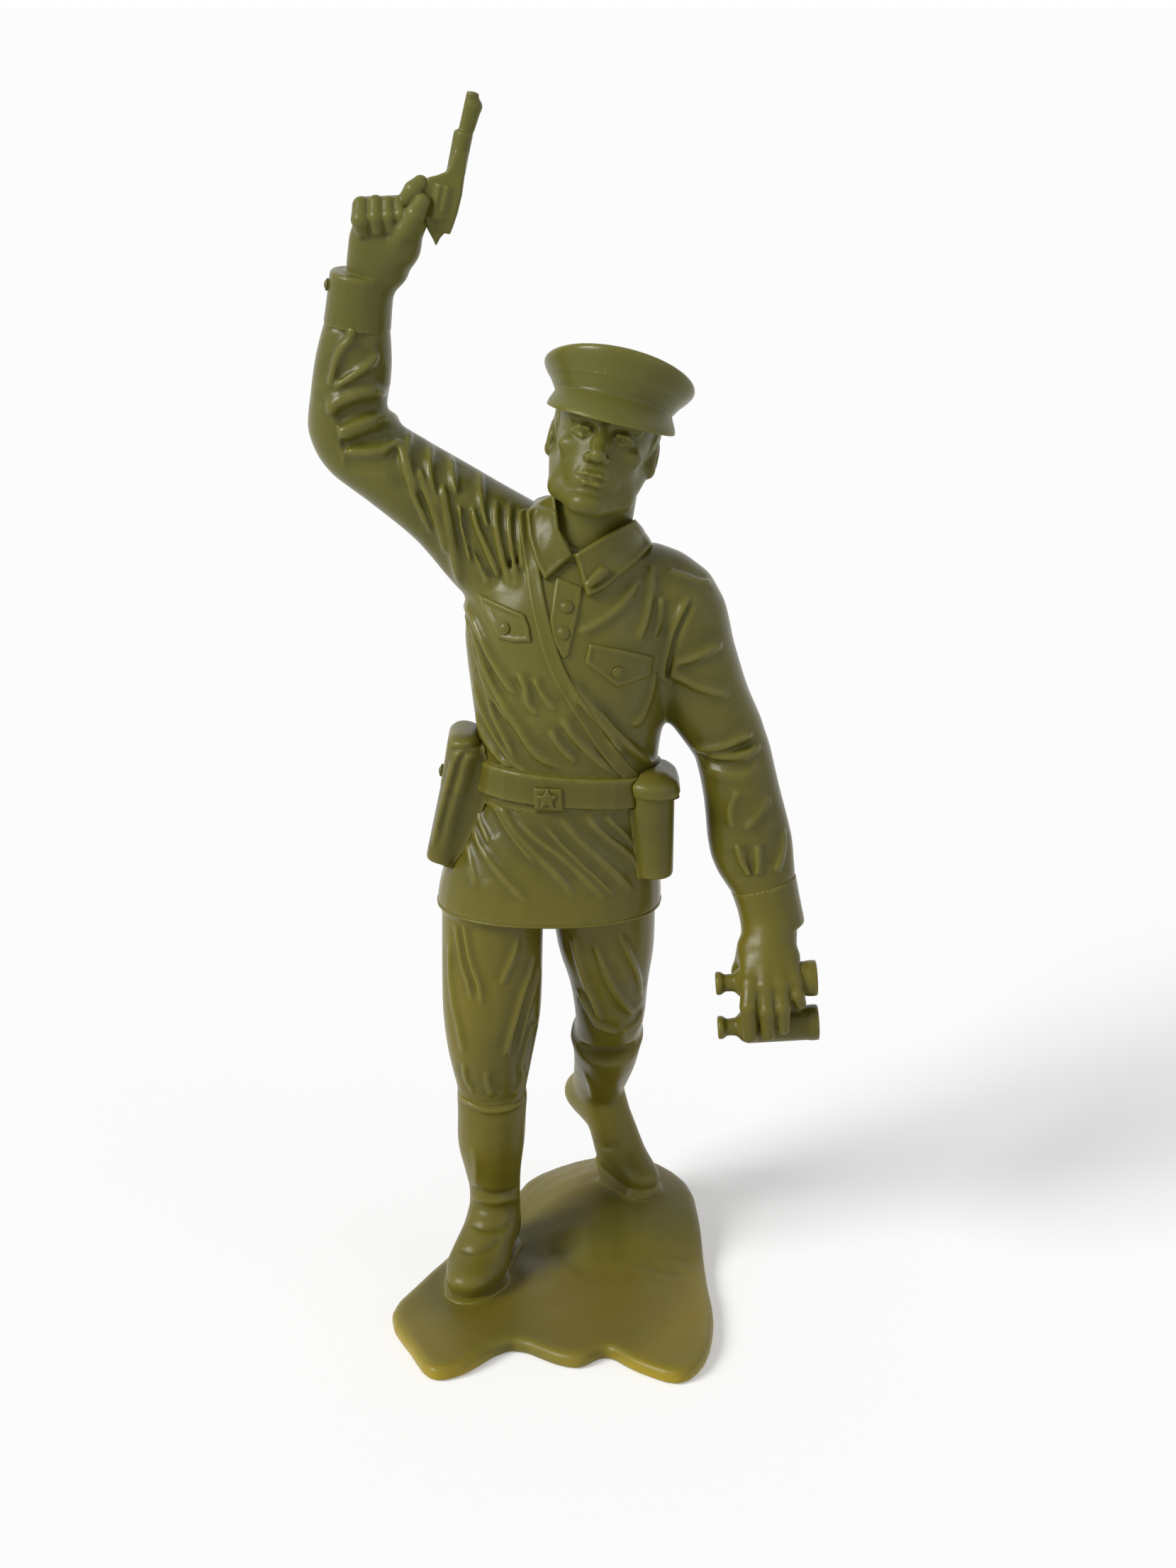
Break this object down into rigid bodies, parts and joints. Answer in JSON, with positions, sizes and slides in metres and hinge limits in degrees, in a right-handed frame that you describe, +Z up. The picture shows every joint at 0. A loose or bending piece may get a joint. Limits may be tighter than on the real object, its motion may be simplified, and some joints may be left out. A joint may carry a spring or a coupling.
{
  "type": "toy soldier figure",
  "caption": "Moulded plastic toy officer in cap, tunic, breeches and boots, striding on a small ground plate with a raised revolver and field glasses.",
  "frame": {"origin": "middle of the flat underside of the ground plate", "axes": "+Z up, -Y the way the figure faces, +X the figure's own left side"},
  "size_m": [0.0756, 0.0643, 0.1843],
  "materials": {
    "olive_plastic": "semi-gloss soft polyethylene, slightly translucent at thin edges"
  },
  "bodies": {
    "root": {"ground_plate": "olive_plastic", "right_boot_sole": "olive_plastic", "right_boot": "olive_plastic", "left_boot_sole": "olive_plastic", "left_boot": "olive_plastic", "right_breeches_leg": "olive_plastic", "left_breeches_leg": "olive_plastic", "tunic_skirt": "olive_plastic", "tunic_body": "olive_plastic", "waist_belt": "olive_plastic", "belt_buckle": "olive_plastic", "buckle_star": "olive_plastic", "button_placket": "olive_plastic", "tunic_buttons": "olive_plastic", "right_pocket_flap": "olive_plastic", "left_pocket_flap": "olive_plastic", "pocket_buttons": "olive_plastic", "cross_strap": "olive_plastic", "shirt_collar": "olive_plastic", "collar_tab": "olive_plastic", "right_upper_sleeve": "olive_plastic", "right_forearm_sleeve": "olive_plastic", "right_cuff": "olive_plastic", "right_hand": "olive_plastic", "left_upper_sleeve": "olive_plastic", "left_forearm_sleeve": "olive_plastic", "left_cuff": "olive_plastic", "left_hand": "olive_plastic", "cuff_button": "olive_plastic", "neck": "olive_plastic", "head": "olive_plastic", "cap_visor": "olive_plastic", "cap_band": "olive_plastic", "cap_crown": "olive_plastic", "revolver_frame": "olive_plastic", "revolver_cylinder": "olive_plastic", "revolver_barrel": "olive_plastic", "binocular_barrels": "olive_plastic", "binocular_bridge": "olive_plastic", "holster_body": "olive_plastic", "holster_flap": "olive_plastic", "holster_stud": "olive_plastic", "case_body": "olive_plastic", "case_lid": "olive_plastic", "case_stud": "olive_plastic"}
  },
  "joints": []
}
